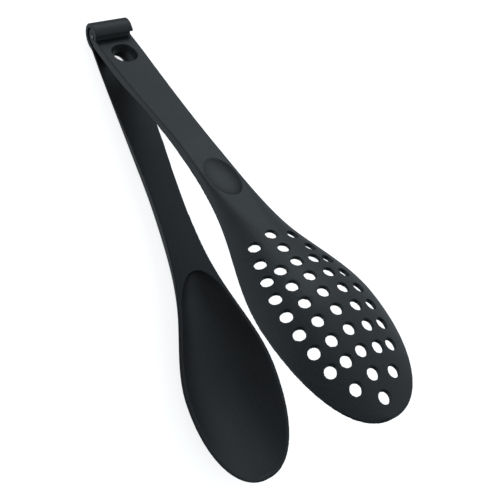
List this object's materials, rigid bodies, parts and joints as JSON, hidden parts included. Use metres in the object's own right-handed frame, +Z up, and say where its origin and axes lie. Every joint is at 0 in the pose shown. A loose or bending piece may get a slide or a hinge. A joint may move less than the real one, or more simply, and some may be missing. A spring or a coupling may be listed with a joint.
{
  "type": "spring loaded kitchen tongs",
  "caption": "Black nylon kitchen tongs: a solid spoon and a slotted spoon on a rolled hinge, sprung open by a torsion spring.",
  "frame": {"origin": "middle of the bounding box's underside, with the tongs lying on the roll and on the back of the solid spoon", "axes": "+X along the hinge axis, +Y from the spoon tips to the hinge, +Z up, through the solid spoon towards the raised slotted arm"},
  "size_m": [0.066, 0.3045, 0.1721],
  "materials": {
    "solid_arm_nylon": "fine moulded grain, satin",
    "slotted_arm_nylon": "fine moulded grain, satin",
    "pin_steel": "drawn",
    "spring_steel": "drawn wire"
  },
  "bodies": {
    "solid_arm": {"rear_arm": "solid_arm_nylon", "torsion_spring": "spring_steel"},
    "slotted_arm": {"front_arm": "slotted_arm_nylon", "hinge_pin": "pin_steel"}
  },
  "joints": [
    {"name": "arm_hinge", "type": "hinge", "parent": "solid_arm", "child": "slotted_arm", "pos_m": [0, 0.14383, 0.0084], "axis": [1, 0, 0], "range_deg": [0, 30.5], "stiffness_Nm_per_rad": 0.2, "springref_deg": -68.75, "deforming": ["torsion_spring"]}
  ]
}
